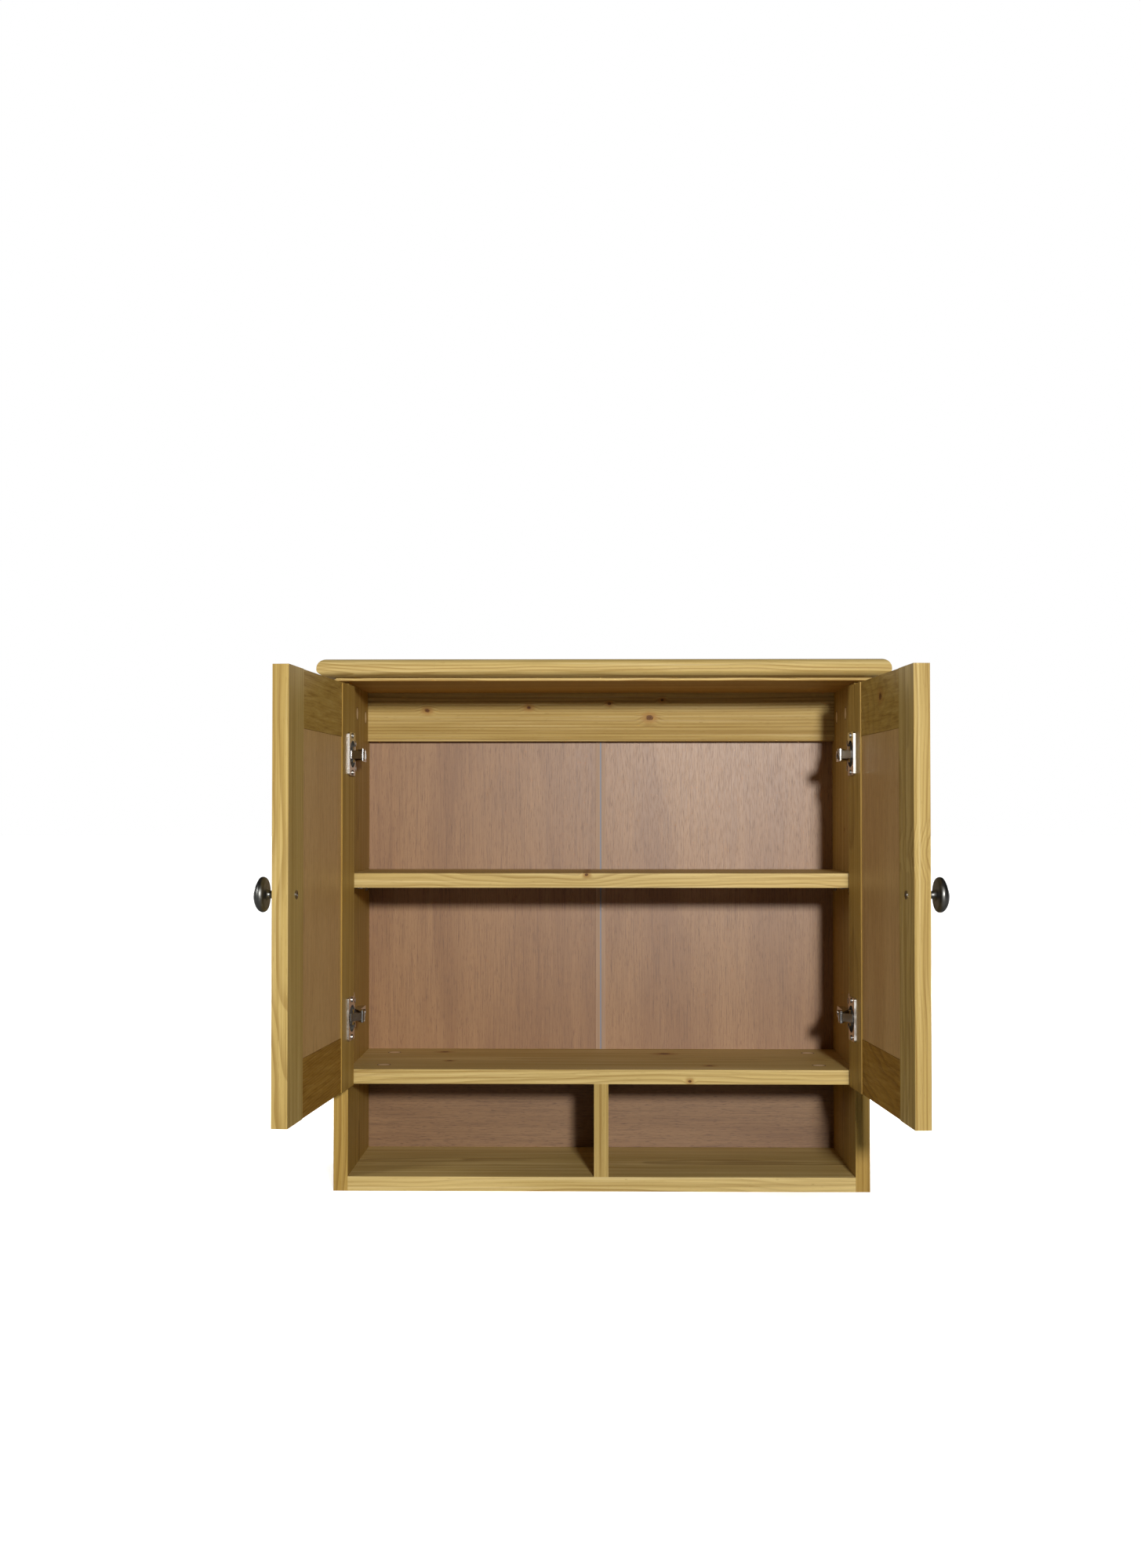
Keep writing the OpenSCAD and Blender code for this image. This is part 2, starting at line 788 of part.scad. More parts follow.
module knob_screw() {
    color(steel) translate([knob_x, 0, knob_z]) difference() {
        union() {
            bar_front(0, 0, 0, knob_screw_d, door_t + knob_neck_l + 3);
            bar_front(0, knob_screw_head_t, 0, knob_screw_head_d, knob_screw_head_t);
        }
        for (turn = [0, 90])
            translate([0, knob_screw_head_t, 0]) rotate([0, turn, 0])
                cube([knob_screw_d + 0.6, 1.4, slot_w], center = true);
    }
}

// ---------- repeats ----------
module hinge_sets() {
    both_sides() for (z = HINGE_Z) on_left_side(z) children();
}

module on_right_side(z) {
    mirror([1, 0, 0]) on_left_side(z) children();
}

module on_right_door() {
    mirror([1, 0, 0]) on_left_door(right_open_angle) children();
}

// ---------- output ----------
left_side();
right_side();
bottom_board();
lower_shelf();
pigeonhole_divider();
middle_shelf();
cornice_top();
hanging_rail();
back_panel_left();
back_panel_right();
back_joint_strip();
pigeonhole_back();
shelf_pegs();
color(pine_pale) shelf_plug_set();  // shelf_plugs
color(pine_pale) side_plug_set();  // side_plugs
color(pine_pale) dowel_set();  // carcass_dowels
color(steel) back_pin_set();  // back_pins

on_left_side(HINGE_Z[1]) hinge_plate();  // left_upper_plate
on_left_side(HINGE_Z[0]) hinge_plate();  // left_lower_plate
on_right_side(HINGE_Z[1]) hinge_plate();  // right_upper_plate
on_right_side(HINGE_Z[0]) hinge_plate();  // right_lower_plate
on_left_side(HINGE_Z[1]) hinge_arm();  // left_upper_arm
on_left_side(HINGE_Z[0]) hinge_arm();  // left_lower_arm
on_right_side(HINGE_Z[1]) hinge_arm();  // right_upper_arm
on_right_side(HINGE_Z[0]) hinge_arm();  // right_lower_arm
on_left_side(HINGE_Z[1]) hinge_link();  // left_upper_link
on_left_side(HINGE_Z[0]) hinge_link();  // left_lower_link
on_right_side(HINGE_Z[1]) hinge_link(right_open_angle);  // right_upper_link
on_right_side(HINGE_Z[0]) hinge_link(right_open_angle);  // right_lower_link
on_left_door() hinge_cup(door_h - hinge_inset);  // left_upper_cup
on_left_door() hinge_cup(hinge_inset);  // left_lower_cup
on_right_door() hinge_cup(door_h - hinge_inset);  // right_upper_cup
on_right_door() hinge_cup(hinge_inset);  // right_lower_cup
color(steel) hinge_sets() hinge_pin();  // arm_pins
color(steel) hinge_sets() hinge_arm_screws();  // arm_screws
color(steel) hinge_sets() hinge_plate_screws();  // plate_screws
color(steel) on_left_door() cup_screws();  // left_cup_screws
color(steel) on_right_door() cup_screws();  // right_cup_screws

on_left_door() hinge_stile();  // left_hinge_stile
on_left_door() free_stile();  // left_free_stile
on_left_door() top_rail();  // left_top_rail
on_left_door() bottom_rail();  // left_bottom_rail
on_left_door() door_panel();  // left_door_panel
on_left_door() knob();  // left_knob
on_left_door() knob_screw();  // left_knob_screw
on_right_door() hinge_stile();  // right_hinge_stile
on_right_door() free_stile();  // right_free_stile
on_right_door() top_rail();  // right_top_rail
on_right_door() bottom_rail();  // right_bottom_rail
on_right_door() door_panel();  // right_door_panel
on_right_door() knob();  // right_knob
on_right_door() knob_screw();  // right_knob_screw
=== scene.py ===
"""Two-door pine wall cabinet: finishes, floor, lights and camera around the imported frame."""
import math

import bpy
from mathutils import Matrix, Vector


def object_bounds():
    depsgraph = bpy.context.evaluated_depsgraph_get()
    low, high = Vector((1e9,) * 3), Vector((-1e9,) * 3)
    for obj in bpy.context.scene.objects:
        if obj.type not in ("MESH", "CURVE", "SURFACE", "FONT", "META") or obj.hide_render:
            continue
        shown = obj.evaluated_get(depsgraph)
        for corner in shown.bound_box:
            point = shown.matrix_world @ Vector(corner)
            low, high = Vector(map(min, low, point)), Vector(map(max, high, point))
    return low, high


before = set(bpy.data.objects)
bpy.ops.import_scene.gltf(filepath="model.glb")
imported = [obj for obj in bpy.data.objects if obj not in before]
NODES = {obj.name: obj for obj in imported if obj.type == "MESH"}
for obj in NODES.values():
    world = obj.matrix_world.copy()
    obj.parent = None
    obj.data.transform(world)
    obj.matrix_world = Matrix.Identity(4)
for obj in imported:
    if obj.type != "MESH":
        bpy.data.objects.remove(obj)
cad_low, cad_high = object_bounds()

MM = 0.001

# Camera: place in mm, turns in degrees, lens and sensor in mm
CAMERA_PLACE = (-6.5, -2451.0, 461.0)
CAMERA_PITCH = 1.263
CAMERA_YAW = 0.817
CAMERA_LENS = 40.855
SENSOR = 36.0

# Lights: strengths in watts, places and sizes in metres
KEY_POWER = 118.0
FILL_POWER = 26.0
BACK_POWER = 50.0
FLOOR_SUN = 4.6
AMBIENT = 0.007
AIM = (0.0, -0.2, 0.38)
KEY_PLACE = (0.52, -3.78, 0.98)
KEY_SIZE = 0.26
FILL_PLACE = (-2.55, -1.72, 1.25)
FILL_SIZE = 1.3
BACK_LEFT_PLACE = (-2.20, 2.40, 0.90)
BACK_RIGHT_PLACE = (2.20, 2.40, 0.90)
BACK_SIZE = 1.2
FLOOR_REACH = 60.0

# Colours, linear
PINE_PALE = (0.600, 0.430, 0.160)
PINE_MID = (0.500, 0.340, 0.105)
PINE_LATE = (0.270, 0.150, 0.032)
PINE_BRIGHT = (0.740, 0.570, 0.270)
KNOT_DARK = (0.070, 0.022, 0.005)
KNOT_HALO = (0.360, 0.175, 0.040)
KNOT_MID = (0.180, 0.072, 0.014)
PLY_PALE = (0.440, 0.262, 0.145)
PLY_MID = (0.340, 0.185, 0.092)
PLY_PORE = (0.150, 0.066, 0.030)
PANEL_PALE = (0.520, 0.335, 0.165)
PANEL_MID = (0.440, 0.270, 0.120)
STRIP_PALE = (0.340, 0.200, 0.108)
STRIP_MID = (0.290, 0.165, 0.084)
STRIP_GROOVE = (0.190, 0.190, 0.220)
PLUG_PALE = (0.860, 0.660, 0.400)
PLUG_MID = (0.740, 0.540, 0.300)
# dark brown ring drawn round each plug's edge
PLUG_EDGE_RING = (0.160, 0.075, 0.022)

# Tones laid over the colours above, shared by boards that look alike
# lightened tone for the lit front boards: their paler wood with painted light on top
PALE_AND_LIT = (1.10, 1.15, 1.25)
HONEY = (0.90, 0.90, 0.85)
AMBER = (0.75, 0.67, 0.45)
# darker tone for the doors' bottom rails: their wood with painted shade, against the top rails
BROWN_AND_SHADED = (0.60, 0.45, 0.18)
PLY_WARM = (0.72, 0.62, 0.42)
PLY_SHADED = (0.55, 0.50, 0.38)
PLY_LIGHT = (1.00, 0.97, 0.75)
# painted shade: a browner colour multiplied onto the cornice's underside below the ceiling
UNDERSIDE_SHADE = (0.86, 0.68, 0.40)

# Widths of the softened arrises
BOARD_ARRIS = 0.9 * MM
DOOR_ARRIS = 1.6 * MM
CORNICE_ARRIS = 0.5 * MM
PLUG_ARRIS = 0.4 * MM
HINGE_ARRIS = 0.25 * MM
STRIP_ARRIS = 0.2 * MM
SCREW_ARRIS = 0.15 * MM
ARRIS_ANGLE = 40

# Height of the ceiling under the moulded top
CEILING = 0.6392
# Centres of the plugs: distance from the middle or height, middle of the two rows, half their gap
SHELF_PLUGS = (0.278, -0.107, 0.061)
SIDE_PLUGS = (0.604, -0.091, 0.042)


# ---------- node graphs ----------
class Graph:
    """A material's node tree with short calls for the nodes used here."""

    def __init__(self, name):
        self.material = bpy.data.materials.new(name)
        self.material.use_nodes = True
        self.tree = self.material.node_tree
        self.tree.nodes.clear()
        self.out = self.node("ShaderNodeOutputMaterial")
        self.shader = self.node("ShaderNodeBsdfPrincipled")
        self.link(self.shader.outputs[0], self.out.inputs[0])

    def node(self, kind, **settings):
        made = self.tree.nodes.new(kind)
        for key, value in settings.items():
            setattr(made, key, value)
        return made

    def link(self, source, target):
        self.tree.links.new(source, target)

    def feed(self, socket, value):
        if isinstance(value, bpy.types.NodeSocket):
            self.link(value, socket)
        elif isinstance(value, (tuple, list)) and len(value) == 3 and socket.type == "RGBA":
            socket.default_value = (*value, 1.0)
        else:
            socket.default_value = value

    def math(self, operation, a, b=0.0, c=0.0):
        made = self.node("ShaderNodeMath", operation=operation)
        for socket, value in zip(made.inputs, (a, b, c)):
            self.feed(socket, value)
        return made.outputs[0]

    def split(self, vector):
        made = self.node("ShaderNodeSeparateXYZ")
        self.feed(made.inputs[0], vector)
        return made.outputs[0], made.outputs[1], made.outputs[2]

    def join(self, x, y, z):
        made = self.node("ShaderNodeCombineXYZ")
        for socket, value in zip(made.inputs, (x, y, z)):
            self.feed(socket, value)
        return made.outputs[0]

    def scaled(self, vector, factors):
        made = self.node("ShaderNodeMapping")
        self.feed(made.inputs["Vector"], vector)
        made.inputs["Scale"].default_value = factors
        return made.outputs[0]

    def noise(self, vector, scale=1.0, detail=2.0, rough=0.5, distort=0.0):
        made = self.node("ShaderNodeTexNoise")
        self.feed(made.inputs["Vector"], vector)
        made.inputs["Scale"].default_value = scale
        made.inputs["Detail"].default_value = detail
        made.inputs["Roughness"].default_value = rough
        made.inputs["Distortion"].default_value = distort
        return made.outputs[0]

    def range(self, value, low, high, to_low=0.0, to_high=1.0):
        made = self.node("ShaderNodeMapRange")
        made.interpolation_type = "SMOOTHSTEP"
        for socket, item in zip(made.inputs, (value, low, high, to_low, to_high)):
            self.feed(socket, item)
        return made.outputs[0]

    def mix(self, factor, a, b, blend="MIX"):
        made = self.node("ShaderNodeMix", data_type="RGBA", blend_type=blend)
        self.feed(made.inputs["Factor"], factor)
        self.feed(made.inputs["A"], a)
        self.feed(made.inputs["B"], b)
        return made.outputs["Result"]

    def bump(self, height, strength, distance):
        made = self.node("ShaderNodeBump")
        made.inputs["Strength"].default_value = strength
        made.inputs["Distance"].default_value = distance
        self.feed(made.inputs["Height"], height)
        self.link(made.outputs[0], self.shader.inputs["Normal"])

    def set(self, **values):
        for name, value in values.items():
            self.feed(self.shader.inputs[name.replace("_", " ")], value)


def board_space(graph, grain, seed):
    """Object coordinates turned so that x runs along the grain, and shifted by the board's seed."""
    source = graph.node("ShaderNodeTexCoord").outputs["Object"]
    x, y, z = graph.split(source)
    order = {"X": (x, y, z), "Y": (y, z, x), "Z": (z, x, y)}[grain]
    shift = (0.731 * seed, 0.217 * seed, 0.389 * seed)
    return [graph.math("ADD", axis, move) for axis, move in zip(order, shift)], order


def tinted(colour, tint):
    """A colour under a tone."""
    return tuple(min(a * b, 0.95) for a, b in zip(colour, tint))


def knot_field(g, knots, along, raw_a, raw_b, shifted):
    """The knots: ring swell, core mask, brown halo and the rings inside the cores."""
    swell = core = halo = rings = None
    for k_along, k_across, k_radius, k_axis in knots:
        across = raw_a if k_axis == "a" else raw_b
        d_along = g.math("MULTIPLY", g.math("SUBTRACT", along, k_along), 0.70)
        d_across = g.math("SUBTRACT", across, k_across)
        wobble = g.math("MULTIPLY_ADD", g.noise(shifted, 170.0, 2.0), k_radius * 0.9,
                        -k_radius * 0.45)
        distance = g.math("ADD", wobble, g.math("SQRT", g.math(
            "ADD", g.math("MULTIPLY", d_along, d_along), g.math("MULTIPLY", d_across, d_across))))
        here = g.range(distance, 0.0, k_radius * 5.0, k_radius * 1.6, 0.0)
        dark = g.range(distance, k_radius * 0.65, k_radius * 1.25, 1.0, 0.0)
        glow = g.range(distance, k_radius * 0.8, k_radius * 3.4, 0.75, 0.0)
        turns = g.math("MULTIPLY", distance, 1100.0)
        swell = here if swell is None else g.math("ADD", swell, here)
        core = dark if core is None else g.math("MAXIMUM", core, dark)
        halo = glow if halo is None else g.math("MAXIMUM", halo, glow)
        rings = turns if rings is None else g.math("MINIMUM", rings, turns)
    return swell, core, halo, rings


def pine(name, grain="X", seed=1.0, pith=(0.09, 0.05), rings=330.0, tint=(1.0, 1.0, 1.0),
         knots=(), swirls=(), strength=0.62, sway=0.030, browned=None):
    """Lacquered pine. pith is the growth rings' centre in metres off the board, in the two
    directions across the grain. knots and swirls are (along, across, radius, axis) in the frame's
    metres, and a swirl bends the rings the way a knot under the face does. Below the height given
    as the last argument the colour is darkened browner, as painted shade on the underside."""
    g = Graph(name)
    (along, cross_a, cross_b), (raw_along, raw_a, raw_b) = board_space(g, grain, seed)
    shifted = g.join(along, cross_a, cross_b)
    drift = g.noise(g.scaled(shifted, (1.8, 6.0, 6.0)), detail=3.0, rough=0.5)
    bend = g.math("MULTIPLY_ADD", drift, sway * 2.0, -sway)
    off_a = g.math("ADD", g.math("ADD", raw_a, pith[0]), bend)
    off_b = g.math("ADD", g.math("ADD", raw_b, pith[1]), g.math("MULTIPLY", bend, 0.7))
    radius = g.math("SQRT", g.math("ADD", g.math("MULTIPLY", off_a, off_a),
                                   g.math("MULTIPLY", off_b, off_b)))
    swell, core, halo, knot_rings = knot_field(g, knots, raw_along, raw_a, raw_b, shifted)
    if swell is not None:
        radius = g.math("ADD", radius, swell)
    bulge, _, _, _ = knot_field(g, swirls, raw_along, raw_a, raw_b, shifted)
    if bulge is not None:
        radius = g.math("ADD", radius, bulge)
    spread = g.noise(g.scaled(shifted, (0.6, 30.0, 30.0)), detail=1.0)
    phase = g.math("MULTIPLY_ADD", radius, rings, g.math("MULTIPLY", spread, 1.8))
    saw = g.math("FRACT", phase)
    ring = g.math("FLOOR", phase)
    vary = g.noise(g.join(g.math("MULTIPLY", ring, 0.731), 0.5, seed), 1.0, 0.0)
    late = g.math("MULTIPLY", g.range(saw, 0.30, 0.88), g.range(saw, 0.92, 0.995, 1.0, 0.0))
    fibre = g.noise(g.scaled(shifted, (12.0, 900.0, 900.0)), detail=2.0, rough=0.6)
    streak = g.noise(g.scaled(shifted, (2.2, 240.0, 240.0)), detail=3.0, rough=0.6)
    patch = g.noise(g.scaled(shifted, (2.4, 16.0, 16.0)), detail=2.0)
    duct = g.noise(g.scaled(shifted, (90.0, 1400.0, 1400.0)), detail=0.0)
    pale, mid, dark, bright = (tinted(c, tint) for c in (PINE_PALE, PINE_MID, PINE_LATE,
                                                         PINE_BRIGHT))
    colour = g.mix(g.range(patch, 0.28, 0.72), pale, mid)
    colour = g.mix(g.range(vary, 0.35, 0.70, 0.0, 0.35), colour, mid)
    late_amount = g.math("MULTIPLY", late, g.range(vary, 0.25, 0.75, strength * 0.35, strength))
    colour = g.mix(late_amount, colour, dark)
    colour = g.mix(g.range(streak, 0.50, 0.72, 0.0, 0.55), colour, dark)
    colour = g.mix(g.range(streak, 0.48, 0.26, 0.0, 0.50), colour, bright)
    colour = g.mix(g.range(fibre, 0.50, 0.78, 0.0, 0.34), colour, dark)
    colour = g.mix(g.range(fibre, 0.46, 0.20, 0.0, 0.22), colour, bright)
    colour = g.mix(g.range(duct, 0.73, 0.80, 0.0, 0.35), colour, dark)
    if core is not None:
        stripe = g.range(g.math("PINGPONG", knot_rings, 1.0), 0.1, 0.9)
        heart = g.mix(stripe, KNOT_MID, KNOT_DARK)
        colour = g.mix(halo, colour, KNOT_HALO)
        colour = g.mix(g.math("MULTIPLY", core, 0.95), colour, heart)
    # painted shade: below the given height the colour is multiplied by a browner tone, darkening
    # the underside
    if browned is not None:
        _, _, height_up = g.split(g.node("ShaderNodeTexCoord").outputs["Object"])
        colour = g.mix(g.range(height_up, browned, browned + 0.5 * MM, 1.0, 0.0), colour,
                       UNDERSIDE_SHADE, blend="MULTIPLY")
    g.set(Base_Color=colour, Roughness=g.range(streak, 0.25, 0.75, 0.48, 0.60),
          Specular_IOR_Level=0.14)
    height = g.math("ADD", g.math("MULTIPLY", fibre, 0.5), g.math("MULTIPLY", late, -0.6))
    g.bump(height, 0.30, 0.00016)
    return g.material


def plywood(name, grain="Z", seed=1.0, tint=(1.0, 1.0, 1.0), pale=PLY_PALE, mid=PLY_MID,
            flecks=0.5, gloss=0.40, shine=0.48):
    """Tropical plywood: short open pores along the grain, fine streaks and faint soft bands."""
    g = Graph(name)
    (along, cross_a, cross_b), _ = board_space(g, grain, seed)
    shifted = g.join(along, cross_a, cross_b)
    band = g.noise(g.scaled(shifted, (1.6, 11.0, 11.0)), detail=3.0, rough=0.55, distort=0.8)
    figure = g.noise(g.scaled(shifted, (3.0, 130.0, 130.0)), detail=3.0, rough=0.6)
    fine = g.noise(g.scaled(shifted, (16.0, 700.0, 700.0)), detail=3.0, rough=0.65)
    dash = g.noise(g.scaled(shifted, (95.0, 1500.0, 1500.0)), detail=1.0)
    light, deep, dark = (tinted(c, tint) for c in (pale, mid, PLY_PORE))
    colour = g.mix(g.range(band, 0.36, 0.64), light, deep)
    colour = g.mix(g.range(figure, 0.48, 0.74, 0.0, 0.42), colour, deep)
    colour = g.mix(g.range(fine, 0.48, 0.74, 0.0, 0.48), colour, dark)
    colour = g.mix(g.range(fine, 0.46, 0.24, 0.0, 0.40), colour,
                   tuple(min(v * 1.30, 0.95) for v in light))
    colour = g.mix(g.range(dash, 0.58, 0.70, 0.0, flecks), colour, dark)
    g.set(Base_Color=colour, Roughness=g.range(dash, 0.35, 0.70, gloss, gloss + 0.05),
          Specular_IOR_Level=shine)
    g.bump(g.math("SUBTRACT", g.math("MULTIPLY", fine, 0.8), dash), 0.12, 0.00005)
    return g.material


def joint_strip_material():
    """Brown strip whose sunk groove along the middle is blue-grey."""
    g = Graph("joint_strip")
    source = g.node("ShaderNodeTexCoord").outputs["Object"]
    x, _, _ = g.split(source)
    grain = g.noise(g.scaled(source, (900.0, 900.0, 14.0)), detail=2.0)
    groove = g.range(g.math("ABSOLUTE", x), 0.8 * MM, 1.3 * MM, 1.0, 0.0)
    body = g.mix(g.range(grain, 0.35, 0.70), STRIP_PALE, STRIP_MID)
    g.set(Base_Color=g.mix(groove, body, STRIP_GROOVE), Roughness=0.50)
    g.bump(grain, 0.2, 0.0001)
    return g.material


def plug_material(name, first_from, centres):
    """Pale end of a plug with a dark brown ring at its edge, about centres as listed for the plugs.
    """
    g = Graph(name)
    source = g.node("ShaderNodeTexCoord").outputs["Object"]
    x, y, z = g.split(source)
    first = g.math("ABSOLUTE", x) if first_from == "x" else z
    first_at, second_at, half_gap = centres
    d_one = g.math("SUBTRACT", first, first_at)
    d_two = g.math("SUBTRACT", g.math("ABSOLUTE", g.math("SUBTRACT", y, second_at)), half_gap)
    reach = g.math("SQRT", g.math("ADD", g.math("MULTIPLY", d_one, d_one),
                                  g.math("MULTIPLY", d_two, d_two)))
    edge = g.range(reach, 7.0 * MM, 7.9 * MM)
    grain = g.noise(g.scaled(source, (60.0, 420.0, 420.0)), detail=2.0)
    body = g.mix(g.range(grain, 0.35, 0.70), PLUG_PALE, PLUG_MID)
    g.set(Base_Color=g.mix(edge, body, PLUG_EDGE_RING), Roughness=0.50, Specular_IOR_Level=0.22)
    g.bump(grain, 0.2, 0.0001)
    return g.material


def metal(name, colour, rough, brushed=0.0, wear=(0.8, 0.8, 0.78), wear_amount=0.3, bump=0.1):
    """Plated or cast metal with cloudy roughness, fine scratches and rubbed spots."""
    g = Graph(name)
    source = g.node("ShaderNodeTexCoord").outputs["Object"]
    cloud = g.noise(source, 90.0, 4.0, 0.6)
    scratch = g.noise(g.scaled(source, (2600.0, 2600.0, 160.0)), detail=2.0)
    shade = g.mix(g.math("MULTIPLY", g.range(cloud, 0.45, 0.75), wear_amount), colour, wear)
    g.set(Base_Color=shade, Metallic=1.0,
          Roughness=g.math("ADD", g.range(cloud, 0.3, 0.7, rough * 0.8, rough * 1.25),
                           g.math("MULTIPLY", scratch, brushed)))
    g.bump(g.math("ADD", cloud, g.math("MULTIPLY", scratch, 0.4)), bump, 0.0001)
    return g.material


# ---------- finishes by node ----------
def dress(names, material, bevel=0.0, segments=2):
    """Gives CAD nodes a material and softens their sharp arrises."""
    for name in names:
        piece = NODES[name]
        piece.data.materials.clear()
        piece.data.materials.append(material)
        if bevel:
            edge = piece.modifiers.new("arris", "BEVEL")
            edge.width = bevel
            edge.segments = segments
            edge.limit_method = "ANGLE"
            edge.angle_limit = math.radians(ARRIS_ANGLE)
            edge.harden_normals = True
            edge.use_clamp_overlap = True


def arris_of(name):
    """Width and segments of a board's softened arrises."""
    if "stile" in name:
        return DOOR_ARRIS, 3
    return (CORNICE_ARRIS if "cornice" in name else BOARD_ARRIS), 2


def wood(name, *args, **options):
    """Dresses one board in pine of its own."""
    dress([name], pine("pine_" + name, *args, **options), *arris_of(name))


wood("left_side", "Z", 1.3, pith=(0.36, 0.11), tint=AMBER)
wood("right_side", "Z", 2.1, pith=(-0.30, 0.10), tint=AMBER,
     knots=((0.453, -0.121, 0.0018, "b"),))
# the bottom board, shelves and cornice take the pale tone, which carries painted light
wood("bottom_board", "X", 3.4, pith=(0.12, 0.045), tint=PALE_AND_LIT)
wood("lower_shelf", "X", 4.6, pith=(0.11, -0.10), tint=PALE_AND_LIT,
     knots=((0.085, -0.057, 0.0055, "a"), (0.138, -0.174, 0.0032, "a"),
            (-0.211, -0.041, 0.0040, "a"), (-0.197, -0.129, 0.0028, "a"),
            (0.111, 0.1375, 0.0016, "b")))
wood("middle_shelf", "X", 5.2, pith=(0.10, -0.42), tint=PALE_AND_LIT,
     knots=((-0.018, 0.3962, 0.0016, "b"),))
wood("pigeonhole_divider", "Z", 6.7, pith=(0.05, 0.17), tint=HONEY)
# the cornice's underside gets painted shade below the ceiling height
wood("cornice_top", "X", 7.1, pith=(0.29, -0.58), rings=210.0, tint=PALE_AND_LIT,
     browned=CEILING)
wood("hanging_rail", "X", 8.3, pith=(0.10, -0.70), rings=300.0, tint=HONEY,
     knots=((-0.237, 0.615, 0.0026, "b"), (-0.098, 0.619, 0.0024, "b"),
            (0.012, 0.624, 0.0018, "b"), (0.084, 0.629, 0.0018, "b"),
            (0.067, 0.605, 0.0034, "b")))
dress(["back_panel_left"], plywood("ply_back_left", "Z", 1.7, tint=PLY_WARM))
dress(["back_panel_right"], plywood("ply_back_right", "Z", 4.9, tint=PLY_WARM))
dress(["pigeonhole_back"], plywood("ply_pigeonhole", "X", 2.6, tint=PLY_SHADED,
                                   flecks=0.75))
dress(["back_joint_strip"], joint_strip_material(), STRIP_ARRIS)
dress(["shelf_plugs"], plug_material("plug_shelf", "x", SHELF_PLUGS), PLUG_ARRIS)
dress(["side_plugs"], plug_material("plug_side", "z", SIDE_PLUGS), PLUG_ARRIS)
dress(["carcass_dowels"], pine("pine_dowel", "X", 11.7, pith=(0.08, -0.10)), PLUG_ARRIS)

for side, seed in (("left", 1.0), ("right", 3.7)):
    wood(f"{side}_hinge_stile", "Z", seed + 0.3, pith=(0.27, 0.33), rings=230.0,
         tint=AMBER)
    wood(f"{side}_free_stile", "Z", seed + 1.1, pith=(0.30, 0.45), rings=230.0,
         tint=HONEY,
         swirls=((0.430, 0.345, 0.0050, "a"),) if side == "right" else ())
    wood(f"{side}_top_rail", "Y", seed + 2.2, pith=(-0.50, 0.30), tint=AMBER, strength=0.30,
         knots=((-0.384, 0.6085, 0.0045, "a"),) if side == "right" else ())
    # the bottom rails take the darker tone, which carries painted shade
    wood(f"{side}_bottom_rail", "Y", seed + 3.3, pith=(-0.08, 0.29), tint=BROWN_AND_SHADED)
    dress([f"{side}_door_panel"], plywood(f"ply_{side}_panel", "Z", seed + 4.4,
                                          tint=PLY_LIGHT, pale=PANEL_PALE,
                                          mid=PANEL_MID, flecks=0.3, gloss=0.42, shine=0.35))

nickel = metal("hinge_nickel", (0.40, 0.385, 0.36), 0.15, brushed=0.03)
cup_nickel = metal("cup_nickel", (0.62, 0.60, 0.57), 0.25, brushed=0.03)
steel = metal("screw_steel", (0.42, 0.41, 0.39), 0.22)
pewter = metal("knob_pewter", (0.17, 0.17, 0.16), 0.40, wear=(0.32, 0.31, 0.28),
               wear_amount=0.35, bump=0.15)
hinge_parts = [n for n in NODES if n.endswith(("_plate", "_arm", "_link"))]
dress(hinge_parts, nickel, HINGE_ARRIS)
dress([n for n in NODES if n.endswith("_cup")], cup_nickel, HINGE_ARRIS)
dress([n for n in NODES if "screw" in n] + ["arm_pins", "back_pins", "shelf_pegs"], steel,
      SCREW_ARRIS)
dress(["left_knob", "right_knob"], pewter)


# ---------- stage, lights and camera ----------
def stage_floor():
    """White paper under the cabinet. It looks white and throws little light back up."""
    mesh = bpy.data.meshes.new("floor")
    corners = [(-FLOOR_REACH, -FLOOR_REACH), (FLOOR_REACH, -FLOOR_REACH),
               (FLOOR_REACH, FLOOR_REACH), (-FLOOR_REACH, FLOOR_REACH)]
    mesh.from_pydata([(x, y, cad_low[2]) for x, y in corners], [], [(0, 1, 2, 3)])
    floor = bpy.data.objects.new("floor", mesh)
    bpy.context.scene.collection.objects.link(floor)
    g = Graph("floor_paper")
    g.set(Base_Color=(0.10, 0.10, 0.10), Roughness=1.0, Specular_IOR_Level=0.0)
    paper = g.node("ShaderNodeBsdfDiffuse")
    paper.inputs["Color"].default_value = (0.94, 0.94, 0.93, 1.0)
    choose = g.node("ShaderNodeMixShader")
    g.link(g.node("ShaderNodeLightPath").outputs["Is Camera Ray"], choose.inputs[0])
    g.link(g.shader.outputs[0], choose.inputs[1])
    g.link(paper.outputs[0], choose.inputs[2])
    g.link(choose.outputs[0], g.out.inputs[0])
    mesh.materials.append(g.material)
    return floor


def aimed(name, data, place, target):
    lamp = bpy.data.objects.new(name, data)
    lamp.location = place
    lamp.rotation_euler = (Vector(target) - Vector(place)).to_track_quat("-Z", "Y").to_euler()
    bpy.context.scene.collection.objects.link(lamp)
    return lamp


def area_light(name, place, target, size, power, colour=(1.0, 1.0, 1.0)):
    data = bpy.data.lights.new(name, "AREA")
    data.shape = "DISK"
    data.size = size
    data.energy = power
    data.color = colour
    return aimed(name, data, place, target)


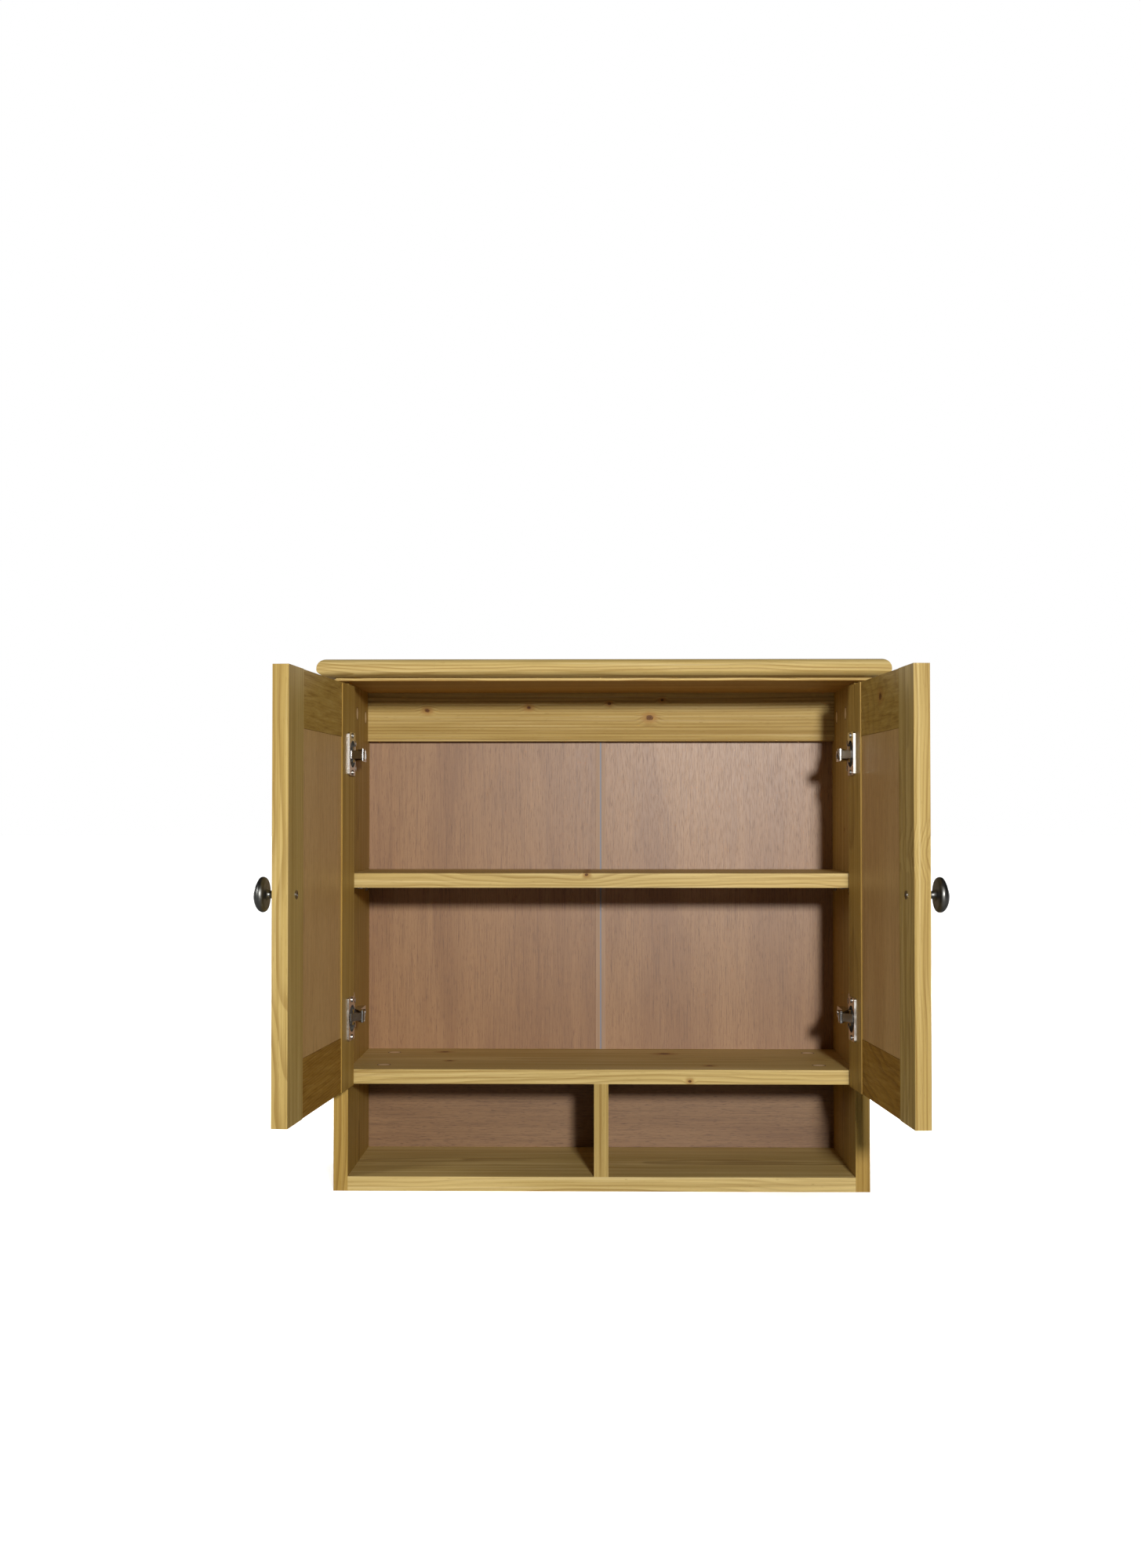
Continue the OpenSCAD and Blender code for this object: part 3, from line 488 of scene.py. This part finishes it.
def studio_lights(floor):
    """Small key in front, wide fill from the left, two behind, and a sun on the floor alone."""
    area_light("key", KEY_PLACE, AIM, KEY_SIZE, KEY_POWER, (1.0, 0.99, 0.97))
    area_light("fill_left", FILL_PLACE, AIM, FILL_SIZE, FILL_POWER)
    area_light("back_left", BACK_LEFT_PLACE, AIM, BACK_SIZE, BACK_POWER)
    area_light("back_right", BACK_RIGHT_PLACE, AIM, BACK_SIZE, BACK_POWER)
    sun = bpy.data.lights.new("floor_light", "SUN")
    sun.energy = FLOOR_SUN
    sun.angle = math.radians(50)
    lamp = aimed("floor_light", sun, (0.3, -0.6, 3.0), (0.0, 0.0, 0.0))
    only_floor = bpy.data.collections.new("floor_only")
    only_floor.objects.link(floor)
    lamp.light_linking.receiver_collection = only_floor


def studio_world():
    """White to the eye, a trace of warm ambient light to everything else."""
    world = bpy.data.worlds.new("studio")
    bpy.context.scene.world = world
    world.use_nodes = True
    tree = world.node_tree
    tree.nodes.clear()
    seen = tree.nodes.new("ShaderNodeBackground")
    seen.inputs["Color"].default_value = (1.0, 1.0, 1.0, 1.0)
    ambient = tree.nodes.new("ShaderNodeBackground")
    ambient.inputs["Color"].default_value = (1.0, 0.94, 0.86, 1.0)
    ambient.inputs["Strength"].default_value = AMBIENT
    path = tree.nodes.new("ShaderNodeLightPath")
    choose = tree.nodes.new("ShaderNodeMixShader")
    out = tree.nodes.new("ShaderNodeOutputWorld")
    tree.links.new(path.outputs["Is Camera Ray"], choose.inputs[0])
    tree.links.new(ambient.outputs[0], choose.inputs[1])
    tree.links.new(seen.outputs[0], choose.inputs[2])
    tree.links.new(choose.outputs[0], out.inputs[0])


def studio_camera():
    data = bpy.data.cameras.new("camera")
    data.lens = CAMERA_LENS
    data.sensor_width = SENSOR
    data.clip_end = 100.0
    camera = bpy.data.objects.new("camera", data)
    camera.location = [v * MM for v in CAMERA_PLACE]
    camera.rotation_euler = (math.radians(90 + CAMERA_PITCH), 0.0, math.radians(CAMERA_YAW))
    bpy.context.scene.collection.objects.link(camera)
    bpy.context.scene.camera = camera


studio_lights(stage_floor())
studio_world()
studio_camera()
bpy.context.scene.view_settings.view_transform = "Standard"
